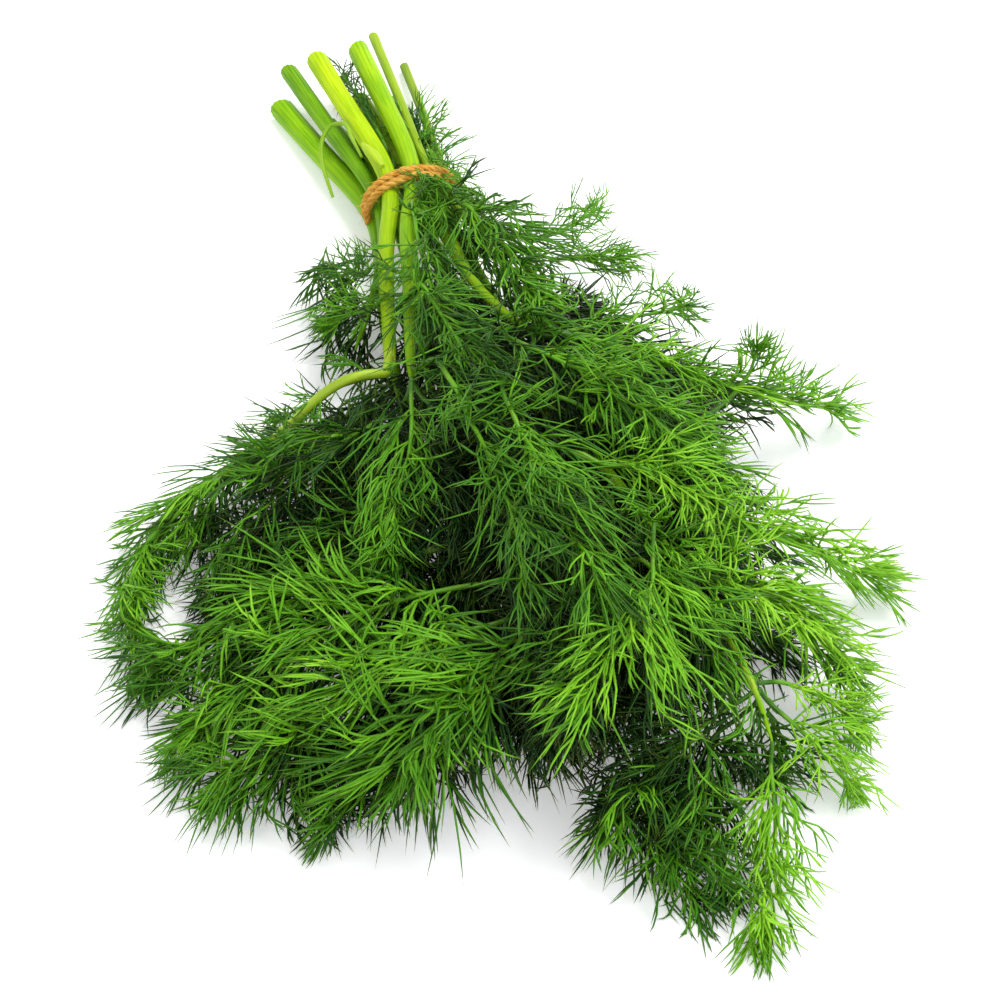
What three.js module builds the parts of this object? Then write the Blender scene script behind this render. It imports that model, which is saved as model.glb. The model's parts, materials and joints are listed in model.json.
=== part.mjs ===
// A bunch of fresh dill, tied near the cut ends of its stems and lying on a flat surface.
// Millimetres, +Z up, +Y along the stems towards their cut ends.
// The group's origin is on the surface, at the middle of the bunch's outline.

import * as THREE from "three";

// Tie: a twisted cord wound round the stems.
const TIE_Y = 120;
const TIE_X = 8;
const TIE_Z = 14.5;
const TIE_HALF_WIDTH = 15.2;
const TIE_HALF_HEIGHT = 13.2;
const TIE_TURNS = 2.1;
const TIE_PITCH = 2.9;
const CORD_RADIUS = 1.2;
const CORD_LAY = 9; // twists of the cord in one turn round the stems
const CORD_LOBE = 0.16; // how far its two strands stand out, as a share of its radius
const TIE_STEPS = 54;
const TIE_SIDES = 8;

// Stems.
const STEM_SIDES = 8;
const STEM_STEP = 11; // distance between the rings of a stem
const STALK_STEP = 2.6;

// Fronds.
const LEAFLET_STEP = 7.5; // distance between two pairs of leaflets
const LEAFLET_SWEEP = 0.9; // angle of a leaflet to its rachis, radians
const RACHIS_BASE = 1.3; // half the rachis' thickness at its base
const RACHIS_TIP = 0.5;
const UNEVEN = 0.16; // how much a leaflet's length and angle vary
const DROOP = 0.12; // how far a leaflet's tip hangs, as a share of its length

// Laying one frond over another.
const CELL = 1.5;
const CLEARANCE = 0.7;
const REACH = 260; // half the side of the square on which heights are kept
const PASSES = 40;
const RISE_SHARE = 0.6; // share of its depth by which a face is raised in one pass
const LEAST_RISE = 0.02;
const LOWEST_TIP = 0.1;

const UP = new THREE.Vector3(0, 0, 1);
const ALONG_STEMS = new THREE.Vector3(0, 1, 0);

const stemMaterial = () =>
  new THREE.MeshStandardMaterial({ color: 0x8cc63a, roughness: 0.45, metalness: 0 });
const paleMaterial = () =>
  new THREE.MeshStandardMaterial({ color: 0xd3e07a, roughness: 0.5, metalness: 0 });
const frondMaterial = () =>
  new THREE.MeshStandardMaterial({ color: 0x3f8f1f, roughness: 0.6, metalness: 0 });
const tieMaterial = () =>
  new THREE.MeshStandardMaterial({ color: 0xc98f3c, roughness: 0.85, metalness: 0 });

// A stem: its name, its radius at the cut end and at the far end, and its route from the cut end.
const STEMS = [
  ["stem_left_low", 2.8, 1.8, [[-17, 183, 2.9], [-9, 150, 6.4], [-1.7, 120, 10.4], [-7, 98, 9.5],
    [-12, 70, 8], [-14, 42, 8]]],
  ["stem_left_mid", 2.3, 1.2, [[-12, 192, 8.5], [-6.5, 156, 12.4], [-1, 120, 16.2], [-5, 102, 17.5],
    [-13, 84, 16], [-22, 69, 13]]],
  ["stem_top_left", 2.9, 1.8, [[-4, 188, 15], [-0.5, 155, 18.4], [3, 120, 21.2], [-5.5, 100, 23.5],
    [-11, 74, 25], [-17, 48, 25]]],
  ["stem_top_right", 2.7, 1.7, [[9, 190, 15], [10, 152, 19.6], [9.8, 120, 22.2], [1.5, 103, 26.5],
    [-3, 80, 29.5], [-9, 58, 30], [-13, 40, 28]]],
  ["stem_thin_long", 1.1, 0.8, [[17, 203, 8], [15.5, 160, 15.5], [14.8, 120, 20.5], [18, 104, 23],
    [22, 92, 25]]],
  ["stem_thin_right", 1.0, 0.8, [[24, 190, 3], [22.3, 155, 9], [19.2, 120, 14.7], [23, 103, 13],
    [29, 90, 10]]],
  ["stem_core_left", 2.4, 1.6, [[-5, 170, 4.6], [0, 146, 9.2], [4.4, 120, 15], [1.5, 98, 15.5],
    [-4, 66, 17], [-8, 32, 19]]],
  ["stem_core_right", 2.4, 1.9, [[6, 174, 8.6], [8.5, 146, 13], [11.3, 120, 16.2], [12.5, 98, 21],
    [11.5, 78, 28], [12, 62, 32], [20, 43, 35]]],
  ["stem_right_low", 2.3, 1.5, [[16.5, 177, 2.6], [16.2, 148, 6.6], [16.2, 120, 11], [19, 98, 10],
    [22, 72, 10], [25, 46, 10]]],
  ["stem_under_left", 2.4, 1.7, [[1.5, 161, 2.5], [2.4, 141, 4.4], [3.7, 120, 7.8], [2, 96, 7],
    [0, 66, 7], [-2, 36, 8]]],
  ["stem_under_right", 2.4, 1.1, [[9, 167, 2.6], [9.4, 144, 5.4], [10.2, 120, 9.6], [10.5, 98, 12.5],
    [13, 70, 19], [18, 30, 30], [27, -15, 37], [37, -60, 28], [43, -77, 21], [42, -91, 16]]],
];

// A thin leaf stalk that loops over the stems, and the pale sheath that it grew from.
const STALKS = [
  ["looped_stalk", 0.6, 0.75, [[-12.6, 136, 8], [-13, 146, 12], [-11.8, 152, 15.2], [-8.3, 155.6, 18.2],
    [-4.7, 153, 20.6], [-4.2, 144, 22.4], [-3.6, 134, 23.4]]],
  ["leaf_sheath", 0.9, 1.5, [[-2.2, 138.4, 24.4], [-0.9, 132, 25.4], [0.7, 125.6, 25.9]]],
];

// A frond: its name, the span of its leaflets, the bare share of its length and its route
// from where it leaves the stems. They are laid down in this order, each on the ones before.
const UNDER_FRONDS = [
  ["frond_under_left_back", 24, 0.1, [[-18, 62, 4], [-32, 52, 2], [-50, 44, 2]]],
  ["frond_under_left", 30, 0.1, [[-12, 26, 4], [-40, 12, 2], [-72, -8, 2]]],
  ["frond_under_left_front", 30, 0.1, [[-8, 4, 5], [-28, -32, 2], [-48, -62, 2]]],
  ["frond_under_front", 30, 0.1, [[4, 0, 5], [4, -42, 2], [-6, -84, 2]]],
  ["frond_under_right_front", 28, 0.1, [[16, 2, 5], [36, -26, 2], [60, -56, 2]]],
  ["frond_under_right", 30, 0.1, [[20, 22, 4], [46, 6, 2], [80, -12, 2]]],
  ["frond_under_right_back", 26, 0.1, [[24, 56, 4], [44, 46, 2], [70, 36, 2]]],
  ["frond_under_back", 22, 0.1, [[24, 84, 4], [38, 76, 2], [56, 70, 2]]],
];

const FRONDS = [
  // Among the cut ends.
  ["frond_between_stems", 10, 0.2, [[6, 134, 14], [4.5, 158, 14], [3, 178, 15]]],
  ["frond_beside_stems", 14, 0.1, [[20, 126, 9], [24, 146, 5], [25, 164, 3]]],
  // Left side, low to high.
  ["frond_left_edge", 19, 0.28, [[-20, 46, 22], [-36, 45, 20], [-53, 43, 15], [-74, 35, 10],
    [-92, 25, 6], [-101, 9, 3], [-100, -13, 2]]],
  ["frond_left_back", 20, 0.25, [[-23, 66, 12], [-40, 67, 8], [-60, 62, 4]]],
  ["frond_left_shoulder", 17, 0.12, [[-12, 82, 18], [-21, 95, 12], [-30, 108, 7]]],
  ["frond_left_curl", 18, 0.12, [[-14, 74, 20], [-27, 80, 15], [-42, 84, 9]]],
  ["frond_left_inner", 24, 0.1, [[-18, 36, 22], [-44, 30, 15], [-64, 16, 9], [-78, -1, 4]]],
  ["frond_left_middle", 24, 0.1, [[-13, 12, 24], [-42, 2, 16], [-72, -8, 8]]],
  ["frond_left_long", 26, 0.15, [[-9, -14, 24], [-46, -13, 16], [-76, -14, 9], [-99, -15, 3]]],
  ["frond_left_front_1", 28, 0.12, [[-12, -30, 26], [-56, -28, 16], [-100, -39, 3]]],
  ["frond_left_front_2", 29, 0.12, [[-10, -44, 28], [-54, -49, 17], [-93, -58, 3]]],
  ["frond_left_front_3", 29, 0.12, [[-8, -58, 28], [-44, -69, 15], [-73, -76, 3]]],
  ["frond_front", 22, 0.1, [[8, -60, 26], [-6, -73, 15], [-20, -80, 5]]],
  ["frond_front_left", 25, 0.1, [[0, -48, 33], [-26, -67, 19], [-50, -80, 4]]],
  ["frond_front_middle", 25, 0.1, [[8, -36, 36], [1, -60, 28], [-12, -82, 12]]],
  // Right side, low to high.
  ["frond_front_dark", 26, 0.1, [[14, -70, 14], [9, -96, 7], [13, -116, 2]]],
  ["frond_front_dark_right", 24, 0.12, [[30, -82, 12], [21, -104, 6], [21, -121, 2]]],
  ["frond_front_tip", 23, 0.06, [[41, -94, 13], [36, -113, 8], [25, -133, 2]]],
  ["frond_tip_left", 25, 0.1, [[40, -79, 19], [21, -84, 14], [-2, -95, 4]]],
  ["frond_tip_right", 24, 0.1, [[46, -79, 18], [55, -91, 12], [63, -103, 3]]],
  ["frond_tip_side", 22, 0.1, [[46, -74, 20], [61, -79, 12], [75, -87, 4]]],
  ["frond_back_upright", 21, 0.16, [[23, 90, 22], [38, 89, 20], [59, 99, 16]]],
  ["frond_back_high", 21, 0.16, [[22, 84, 25], [39, 76, 25], [58, 71, 24]]],
  ["frond_right_back", 23, 0.1, [[26, 42, 32], [48, 47, 27], [72, 55, 18]]],
  ["frond_right_long", 25, 0.14, [[22, 41, 37], [47, 30, 32], [72, 17, 22], [104, 12, 8]]],
  ["frond_right_sprig", 12, 0.2, [[70, 14, 27], [76, 17, 33], [79, 20, 41]]],
  ["frond_right_front", 29, 0.12, [[22, -38, 40], [42, -48, 31], [62, -59, 19], [82, -77, 3]]],
  ["frond_right_inner", 25, 0.1, [[20, -42, 38], [34, -62, 24], [40, -82, 12]]],
  ["frond_right_curl", 26, 0.1, [[26, -44, 37], [17, -66, 23], [-3, -79, 8]]],
  ["frond_right_middle", 25, 0.1, [[14, 18, 36], [40, -2, 35], [66, -16, 22]]],
  ["frond_right_arch", 30, 0.14, [[8, -2, 44], [32, -20, 40], [54, -36, 30], [76, -39, 19],
    [93, -45, 6]]],
  // Top of the mound.
  ["frond_top_tie", 24, 0.06, [[4, 104, 29], [0, 78, 34], [-2, 50, 38]]],
  ["frond_top_tie_right", 26, 0.06, [[15, 106, 27], [24, 74, 34], [24, 42, 40]]],
  ["frond_top_centre", 25, 0.08, [[-4, 64, 36], [-1, 42, 41], [5, 18, 44]]],
  ["frond_top_left", 26, 0.1, [[-14, 36, 33], [-22, 8, 34], [-36, -18, 27]]],
  ["frond_top_middle", 28, 0.1, [[-8, 30, 40], [-4, -12, 45], [-6, -54, 38]]],
  ["frond_top_front", 27, 0.1, [[4, 10, 46], [6, -26, 48], [8, -64, 40]]],
  ["frond_top_right", 26, 0.1, [[12, 36, 42], [32, 10, 43], [44, -14, 37]]],
];

const parts = new THREE.Group();
const vector = (p) => new THREE.Vector3(...p);
const quad = (a, b, c, d) => [[a, b, c], [a, c, d]];

// A repeatable number between -1 and 1 for each number given.
function scatter(n) {
  const s = Math.sin(n * 127.1 + 11.7) * 43758.5453;
  return 2 * (s - Math.floor(s)) - 1;
}

// Heights of what has been laid down so far, kept on a square grid.
const columns = Math.round((2 * REACH) / CELL);
const heights = new Float32Array(columns * columns).fill(-CLEARANCE);

function cellAt(point) {
  const column = Math.floor((point.x + REACH) / CELL);
  const row = Math.floor((point.y + REACH) / CELL);
  return row * columns + column;
}

// Calls visit with points spread over a face, closer together than a cell.
function spread(solid, face, visit) {
  const [a, b, c] = face.map((k) => solid.points[k]);
  const longest = Math.max(a.distanceTo(b), b.distanceTo(c), c.distanceTo(a));
  const n = Math.max(1, Math.ceil(longest / (CELL * 0.7)));
  const point = new THREE.Vector3();
  for (let i = 0; i <= n; i++)
    for (let j = 0; j <= n - i; j++) {
      point.set(0, 0, 0);
      point.addScaledVector(a, i / n);
      point.addScaledVector(b, j / n);
      point.addScaledVector(c, (n - i - j) / n);
      visit(point);
    }
}

function layDown(solid) {
  for (const face of solid.faces)
    spread(solid, face, (p) => {
      const cell = cellAt(p);
      heights[cell] = Math.max(heights[cell], p.z);
    });
}

// How deep a face is in what lies under it.
function depthOf(solid, face) {
  let depth = 0;
  spread(solid, face, (p) => {
    depth = Math.max(depth, heights[cellAt(p)] + CLEARANCE - p.z);
  });
  return depth;
}

// Raises the sections and leaflet tips of a frond until it rests on what lies under it.
function settle(solid) {
  for (let pass = 0; pass < PASSES; pass++) {
    const rise = new Map();
    for (const face of solid.faces) {
      const depth = depthOf(solid, face);
      if (depth <= 0) continue;
      for (const k of face) {
        const group = solid.groups[k];
        rise.set(group, Math.max(rise.get(group) || 0, depth * RISE_SHARE + LEAST_RISE));
      }
    }
    if (!rise.size) return;
    solid.points.forEach((p, k) => {
      p.z += rise.get(solid.groups[k]) || 0;
    });
  }
}

// Adds a solid to the bunch as a named mesh, with what comes later lying over it.
function addPart(name, material, solid) {
  const geometry = new THREE.BufferGeometry();
  const coordinates = solid.points.flatMap((p) => [p.x, p.y, p.z]);
  geometry.setAttribute("position", new THREE.Float32BufferAttribute(coordinates, 3));
  geometry.setIndex(solid.faces.flat());
  geometry.computeVertexNormals();
  const mesh = new THREE.Mesh(geometry, material);
  mesh.name = name;
  parts.add(mesh);
  layDown(solid);
}

const smoothRoute = (places) =>
  new THREE.CatmullRomCurve3(places.map(vector), false, "centripetal");

// Equal steps along a route: the centre, the direction and two square directions across it.
function sectionsOf(route, steps, axis) {
  return Array.from({ length: steps + 1 }, (_, i) => {
    const centre = route.getPointAt(i / steps);
    const along = route.getTangentAt(i / steps);
    const side = along.clone().cross(axis).normalize();
    const lift = side.clone().cross(along);
    return { centre, along, side, lift };
  });
}

// A closed tube. radiusAt gives its radius at a share of the length and an angle round it.
function tube(route, steps, sides, axis, radiusAt) {
  const points = [];
  const faces = [];
  sectionsOf(route, steps, axis).forEach(({ centre, side, lift }, i) => {
    for (let j = 0; j < sides; j++) {
      const angle = (2 * Math.PI * j) / sides;
      const radius = radiusAt(i / steps, angle);
      const point = centre.clone().addScaledVector(side, radius * Math.cos(angle));
      points.push(point.addScaledVector(lift, radius * Math.sin(angle)));
    }
  });
  for (let i = 0; i < steps; i++)
    for (let j = 0; j < sides; j++) {
      const a = i * sides + j;
      const b = i * sides + ((j + 1) % sides);
      faces.push(...quad(a, a + sides, b + sides, b));
    }
  const last = steps * sides;
  for (let j = 1; j < sides - 1; j++) {
    faces.push([0, j, j + 1]);
    faces.push([last, last + j + 1, last + j]);
  }
  return { points, faces };
}

function makeStem(material, step, name, cutRadius, farRadius, places) {
  const route = smoothRoute(places);
  const steps = Math.round(route.getLength() / step);
  const radiusAt = (share) => THREE.MathUtils.lerp(cutRadius, farRadius, share);
  addPart(name, material, tube(route, steps, STEM_SIDES, UP, radiusAt));
}

// The cord goes round the stems in an oval, each turn beside the last.
class TieRoute extends THREE.Curve {
  getPoint(share, target = new THREE.Vector3()) {
    const angle = 2 * Math.PI * TIE_TURNS * share - 0.5 * Math.PI;
    return target.set(
      TIE_X + TIE_HALF_WIDTH * Math.cos(angle),
      TIE_Y + TIE_PITCH * TIE_TURNS * (share - 0.5),
      TIE_Z + TIE_HALF_HEIGHT * Math.sin(angle),
    );
  }
}

function makeTie() {
  const radiusAt = (share, angle) => {
    const twist = 2 * Math.PI * CORD_LAY * TIE_TURNS * share;
    return CORD_RADIUS * (1 + CORD_LOBE * Math.cos(2 * angle - twist));
  };
  addPart("tie", tieMaterial(), tube(new TieRoute(), TIE_STEPS, TIE_SIDES, ALONG_STEMS, radiusAt));
}

// Length of a leaflet at a share of the blade: longest before the middle, shortest at the end.
function leafletShare(share) {
  return 0.35 + 0.65 * Math.sin(Math.PI * (0.22 + 0.78 * share)) ** 0.8;
}

// The four corners of each section of a rachis, which gets thinner towards its tip.
function rachisCorners(sections) {
  const signs = [[-1, 1], [1, 1], [1, -1], [-1, -1]];
  return sections.flatMap(({ centre, side, lift }, i) => {
    const half = THREE.MathUtils.lerp(RACHIS_BASE, RACHIS_TIP, i / (sections.length - 1));
    return signs.map(([x, z]) =>
      centre.clone().addScaledVector(side, x * half).addScaledVector(lift, z * half),
    );
  });
}

// The tip of the leaflet that starts at a section, on the side that sign gives.
function leafletTip(section, next, sign, span, blade, seed) {
  const sweep = LEAFLET_SWEEP * (1 - 0.35 * blade) * (1 + UNEVEN * scatter(seed + 0.5));
  const length = (0.5 * span * leafletShare(blade)) / Math.sin(LEAFLET_SWEEP);
  const uneven = length * (1 + UNEVEN * scatter(seed));
  const tip = section.centre.clone().lerp(next.centre, 0.5);
  tip.addScaledVector(section.along, uneven * Math.cos(sweep));
  tip.addScaledVector(section.side, sign * uneven * Math.sin(sweep));
  tip.z = Math.max(LOWEST_TIP, tip.z - DROOP * uneven);
  return tip;
}

// A frond: a four-sided rachis with a pointed leaflet on each side of every step of its blade.
function makeFrond(name, span, bare, places, seed) {
  const route = smoothRoute(places);
  const steps = Math.max(6, Math.round(route.getLength() / LEAFLET_STEP));
  const sections = sectionsOf(route, steps, UP);
  const points = rachisCorners(sections);
  const groups = points.map((_, k) => Math.floor(k / 4));
  const faces = quad(0, 3, 2, 1);
  const addPeak = (corners, tip) => {
    groups.push(steps + points.length);
    points.push(tip);
    const k = points.length - 1;
    corners.forEach((corner, n) => faces.push([corner, corners[(n + 1) % 4], k]));
  };
  for (let i = 0; i < steps; i++) {
    const a = 4 * i;
    const b = a + 4;
    faces.push(...quad(a, a + 1, b + 1, b), ...quad(a + 3, b + 3, b + 2, a + 2));
    const flanks = [
      [1, [a + 1, a + 2, b + 2, b + 1]],
      [-1, [a, b, b + 3, a + 3]],
    ];
    const blade = ((i + 0.5) / steps - bare) / (1 - bare);
    for (const [sign, corners] of flanks) {
      const own = seed * 97 + i * 2 + (sign > 0 ? 1 : 0);
      if (blade < 0) faces.push(...quad(...corners));
      else addPeak(corners, leafletTip(sections[i], sections[i + 1], sign, span, blade, own));
    }
  }
  const tip = sections[steps].centre.clone().addScaledVector(sections[steps].along, 0.3 * span);
  tip.z = Math.max(LOWEST_TIP, tip.z);
  addPeak([0, 1, 2, 3].map((k) => 4 * steps + k), tip);
  const solid = { points, faces, groups };
  settle(solid);
  addPart(name, frondMaterial(), solid);
}

UNDER_FRONDS.forEach((frond, k) => makeFrond(...frond, k + 1));
STEMS.forEach((stem) => makeStem(stemMaterial(), STEM_STEP, ...stem));
STALKS.forEach((stalk) => makeStem(paleMaterial(), STALK_STEP, ...stalk));
makeTie();
FRONDS.forEach((frond, k) => makeFrond(...frond, k + 20));

// The origin goes to the middle of the outline, on the surface.
const box = new THREE.Box3().setFromObject(parts);
const middle = box.getCenter(new THREE.Vector3());
parts.position.set(-middle.x, -middle.y, -box.min.z);

const bunch = new THREE.Group();
bunch.add(parts);

export default bunch;
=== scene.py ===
# A tied bunch of fresh dill lying on a pale surface.
# Metres, +Z up, +Y along the stems towards their cut ends.

import json
import math
import bpy
import numpy as np
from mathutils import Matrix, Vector


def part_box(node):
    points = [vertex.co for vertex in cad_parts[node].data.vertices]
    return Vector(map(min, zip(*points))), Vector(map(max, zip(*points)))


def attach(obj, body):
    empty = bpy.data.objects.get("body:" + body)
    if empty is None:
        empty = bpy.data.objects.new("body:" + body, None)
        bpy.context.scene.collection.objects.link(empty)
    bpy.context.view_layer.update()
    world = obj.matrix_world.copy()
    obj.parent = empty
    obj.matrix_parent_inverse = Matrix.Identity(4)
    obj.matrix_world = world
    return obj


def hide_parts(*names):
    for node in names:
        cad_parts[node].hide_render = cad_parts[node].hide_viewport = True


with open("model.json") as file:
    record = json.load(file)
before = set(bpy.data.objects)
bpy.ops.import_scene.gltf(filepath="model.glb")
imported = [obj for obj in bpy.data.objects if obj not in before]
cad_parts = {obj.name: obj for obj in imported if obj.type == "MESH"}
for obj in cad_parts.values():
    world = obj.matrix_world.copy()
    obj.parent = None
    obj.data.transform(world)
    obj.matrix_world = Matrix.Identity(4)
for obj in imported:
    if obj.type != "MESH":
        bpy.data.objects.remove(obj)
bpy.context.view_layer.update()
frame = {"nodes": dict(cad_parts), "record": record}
slotOfNode = {entry["node"]: entry["material_slot"] for entry in frame["record"]["subparts"]}
cadNodes = list(slotOfNode)
print("frame loaded:", len(cadNodes), "nodes")

mm = 0.001
up = np.array([0, 0, 1.0])


class Wire:  # a socket that can be used in sums
    def __init__(self, sheet, socket):
        self.sheet, self.socket = sheet, socket

    def __add__(self, other):
        return self.sheet.math("ADD", self, other)

    def __mul__(self, other):
        return self.sheet.math("MULTIPLY", self, other)

    def __sub__(self, other):
        return self.sheet.math("SUBTRACT", self, other)

    def __rsub__(self, other):
        return self.sheet.math("SUBTRACT", other, self)

    __radd__, __rmul__ = __add__, __mul__


class Sheet:  # one material's node tree
    def __init__(self, name):
        self.material = bpy.data.materials.new(name)
        self.material.use_nodes = True
        self.tree = self.material.node_tree

    def add(self, kind, settings=None, out=0, **values):
        node = self.tree.nodes.new(kind)
        for key, value in (settings or {}).items():
            setattr(node, key, value)
        for key, value in values.items():  # in0 is the first input
            self.feed(node.inputs[int(key[2:]) if key[2:].isdigit() else key], value)
        return Wire(self, node.outputs[out])

    def feed(self, socket, value):
        if isinstance(value, Wire):
            self.tree.links.new(value.socket, socket)
        else:
            socket.default_value = value

    def math(self, kind, first, second):
        return self.add("ShaderNodeMath", {"operation": kind}, in0=first, in1=second)

    def step(self, value, low, high):  # 0 below low, 1 above high, smooth between
        settings = {"interpolation_type": "SMOOTHSTEP"}
        return self.add("ShaderNodeMapRange", settings, in0=value, in1=low, in2=high)

    def split(self, vector):  # its x and y
        x = self.add("ShaderNodeSeparateXYZ", in0=vector)
        return x, Wire(self, x.socket.node.outputs[1])

    def mix(self, share, first, second):
        first, second = (end if isinstance(end, Wire) else (*end, 1) for end in (first, second))
        return self.add("ShaderNodeMix", {"data_type": "RGBA"}, 2, in0=share, in6=first, in7=second)

    def ramp(self, value, stops):
        wire = self.add("ShaderNodeValToRGB", in0=value)
        elements = wire.socket.node.color_ramp.elements
        elements.remove(elements[-1])
        elements[0].position = stops[0][0]
        elements[0].color = (*stops[0][1], 1)
        for place, colour in stops[1:]:
            elements.new(place).color = (*colour, 1)
        return wire

    def place(self):
        return self.add("ShaderNodeTexCoord", out=3)

    def noise(self, place, scale, detail=2.0, rough=0.5):
        return self.add("ShaderNodeTexNoise", Vector=place, Scale=scale, Detail=detail, Roughness=rough)

    def bump(self, height, strength):
        return self.add("ShaderNodeBump", Height=height, Strength=strength, Distance=0.2 * mm)

    def finish(self, **values):
        shader = self.tree.nodes["Principled BSDF"]
        for key, value in values.items():
            self.feed(shader.inputs[key.replace("_", " ")], value)
        return self.material


def norm(v):
    return np.linalg.norm(v, axis=-1)


def unit(v):
    return v / np.maximum(norm(v)[..., None], 1e-12)


def ease(value, low, high):
    t = np.clip((value - low) / (high - low), 0, 1)
    return t * t * (3 - 2 * t)


def travel(line):  # how far along the line each point is
    return np.concatenate([[0], np.cumsum(norm(np.diff(line, axis=0)))])


def smoothLine(points, count):  # through the points, at equal lengths
    padded = np.vstack([2 * points[0] - points[1], points, 2 * points[-1] - points[-2]])
    fine = []
    for a, b, c, d in zip(padded, padded[1:], padded[2:], padded[3:]):
        t = np.linspace(0, 1, 12, endpoint=False)[:, None]
        fine.append(0.5 * (2 * b + (c - a) * t + (2 * a - 5 * b + 4 * c - d) * t**2
                           + (3 * b - a - 3 * c + d) * t**3))
    fine = np.vstack(fine + [points[-1:]])
    reach = travel(fine)
    want = np.linspace(0, reach[-1], count)
    return np.stack([np.interp(want, reach, fine[:, k]) for k in range(3)], axis=1)


def mergedMesh(node):
    mesh = frame["nodes"][node].data
    places = np.empty(len(mesh.vertices) * 3)
    mesh.vertices.foreach_get("co", places)
    places = places.reshape(-1, 3)
    mesh.calc_loop_triangles()
    faces = np.empty(len(mesh.loop_triangles) * 3, dtype=np.int64)
    mesh.loop_triangles.foreach_get("vertices", faces)
    keys, back = np.unique(np.round(places / 2e-6).astype(np.int64), axis=0, return_inverse=True)
    back = back.reshape(-1)
    merged = np.zeros((len(keys), 3))
    merged[back] = places
    faces = back[faces].reshape(-1, 3)
    return merged, faces[(faces != np.roll(faces, 1, axis=1)).all(1)]


def sharpness(places, faces):  # sum of the angles round each vertex
    total = np.zeros(len(places))
    for k in range(3):
        corner = places[faces[:, k]]
        a = places[faces[:, (k + 1) % 3]] - corner
        b = places[faces[:, (k + 2) % 3]] - corner
        cosine = (a * b).sum(1) / (norm(a) * norm(b))
        np.add.at(total, faces[:, k], np.arccos(np.clip(cosine, -1, 1)))
    return total


# A leaflet's tip joins four corners, and is sharper than the corners of a frond's cut end.
def leafletTips(places, faces, edges):
    near = [set() for _ in places]
    for a, b in edges:
        near[a].add(b)
        near[b].add(a)
    fourWay = np.array([len(others) == 4 for others in near])
    beside = np.array([any(fourWay[k] for k in others) for others in near])
    angle = sharpness(places, faces)
    return fourWay & ((angle < math.pi) | ((angle < 4.0) & ~beside))


# The sections of a node in order, from the end with the greatest y or nearest the stems,
# and its leaflet tips, each with the sections it grows from.
def readSkeleton(node, gap, leafy=False):
    places, faces = mergedMesh(node)
    edges = {tuple(sorted((int(f[a]), int(f[b])))) for f in faces for a, b in ((0, 1), (1, 2), (2, 0))}
    pointed = leafletTips(places, faces, edges) if leafy else np.zeros(len(places), dtype=bool)
    parent = list(range(len(places)))

    def root(k):
        while parent[k] != k:
            parent[k] = parent[parent[k]]
            k = parent[k]
        return k

    for a, b in edges:
        if not pointed[a] and not pointed[b] and norm(places[a] - places[b]) < gap:
            parent[root(a)] = root(b)
    groups = {}
    for k in range(len(places)):
        if not pointed[k]:
            groups.setdefault(root(k), []).append(k)
    groups = list(groups.values())
    sectionOf = {k: n for n, members in enumerate(groups) for k in members}
    centres = np.array([places[members].mean(0) for members in groups])
    sizes = np.array([norm(places[m] - places[m].mean(0)).mean() for m in groups])
    links = {n: set() for n in range(len(centres))}
    tips = {}
    for a, b in edges:
        if pointed[a] or pointed[b]:
            tip, foot = (a, b) if pointed[a] else (b, a)
            if not pointed[foot]:
                tips.setdefault(tip, set()).add(sectionOf[foot])
        elif sectionOf[a] != sectionOf[b]:
            links[sectionOf[a]].add(sectionOf[b])
            links[sectionOf[b]].add(sectionOf[a])
    ends = [n for n, near in links.items() if len(near) == 1]
    last = [next(iter(feet)) for feet in tips.values() if len(feet) == 1]
    if last:
        order = [next(n for n in ends if n != last[0])]
    else:
        order = [max(ends, key=lambda n: centres[n][1])]
    while len(order) < len(centres):
        order.append(next(n for n in links[order[-1]] if n not in order))
    rank = {n: i for i, n in enumerate(order)}
    leaflets = [(sorted(rank[n] for n in feet), places[tip]) for tip, feet in tips.items()]
    return centres[order], sizes[order], leaflets


# The sides of a section are shorter than this, and the way to the next section is longer.
ringGap = {"frond": 2.65 * mm, "stem": 3.5 * mm, "stalk": 2.2 * mm, "tie": 2 * mm}

floorGap = 0.35 * mm  # no thread's middle lies lower
crown = 55 * mm  # leaves that would stand higher are pressed down
pressed = 0.4  # to this share of their height over it


def aboveFloor(points):
    z = points[..., 2]
    z[:] = np.where(z > crown, crown + pressed * (z - crown), z)
    points[..., 2] = np.maximum(np.where(z < floorGap, floorGap + 0.02 * (z - floorGap), z), 0.7 * floorGap)
    return points


class StemSpace:  # the cells that the stems fill where they show, which leaf threads keep out of
    look = {"cell": 0.8 * mm, "margin": 0.35 * mm, "behind": 12 * mm, "border": 6 * mm, "most": 6}

    def __init__(self, lines, widths):
        cell = self.look["cell"]
        shown = [line[line[:, 1] > self.look["behind"]] for line in lines]
        points = np.vstack(shown)
        self.low = points.min(0) - self.look["border"]
        self.size = ((points.max(0) + self.look["border"] - self.low) / cell).astype(int)
        self.filled = np.zeros(self.size, dtype=bool)
        most = self.look["most"]  # cells on each side of a stem's middle
        around = np.indices((2 * most + 1,) * 3).reshape(3, -1).T - most
        far = norm(around) * cell
        for line, part, width in zip(lines, shown, widths):
            near = around[far < width + self.look["margin"]]
            for place in smoothLine(part, 3 * len(line)):
                self.filled[tuple((np.round((place - self.low) / cell).astype(int) + near).T)] = True

    def meets(self, lines):
        share = np.array([0.25, 0.5, 0.75, 1])[:, None]
        places = lines[:, :-1, None] * (1 - share) + lines[:, 1:, None] * share
        cells = np.round((places.reshape(len(lines), -1, 3) - self.low) / self.look["cell"]).astype(int)
        within = ((cells >= 0) & (cells < self.size)).all(-1)
        x, y, z = np.moveaxis(np.clip(cells, 0, self.size - 1), -1, 0)
        return (self.filled[x, y, z] & within).any(1)


leafTones = (0.01, 0.82)  # the part of the colour chart kept for leaves


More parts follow.
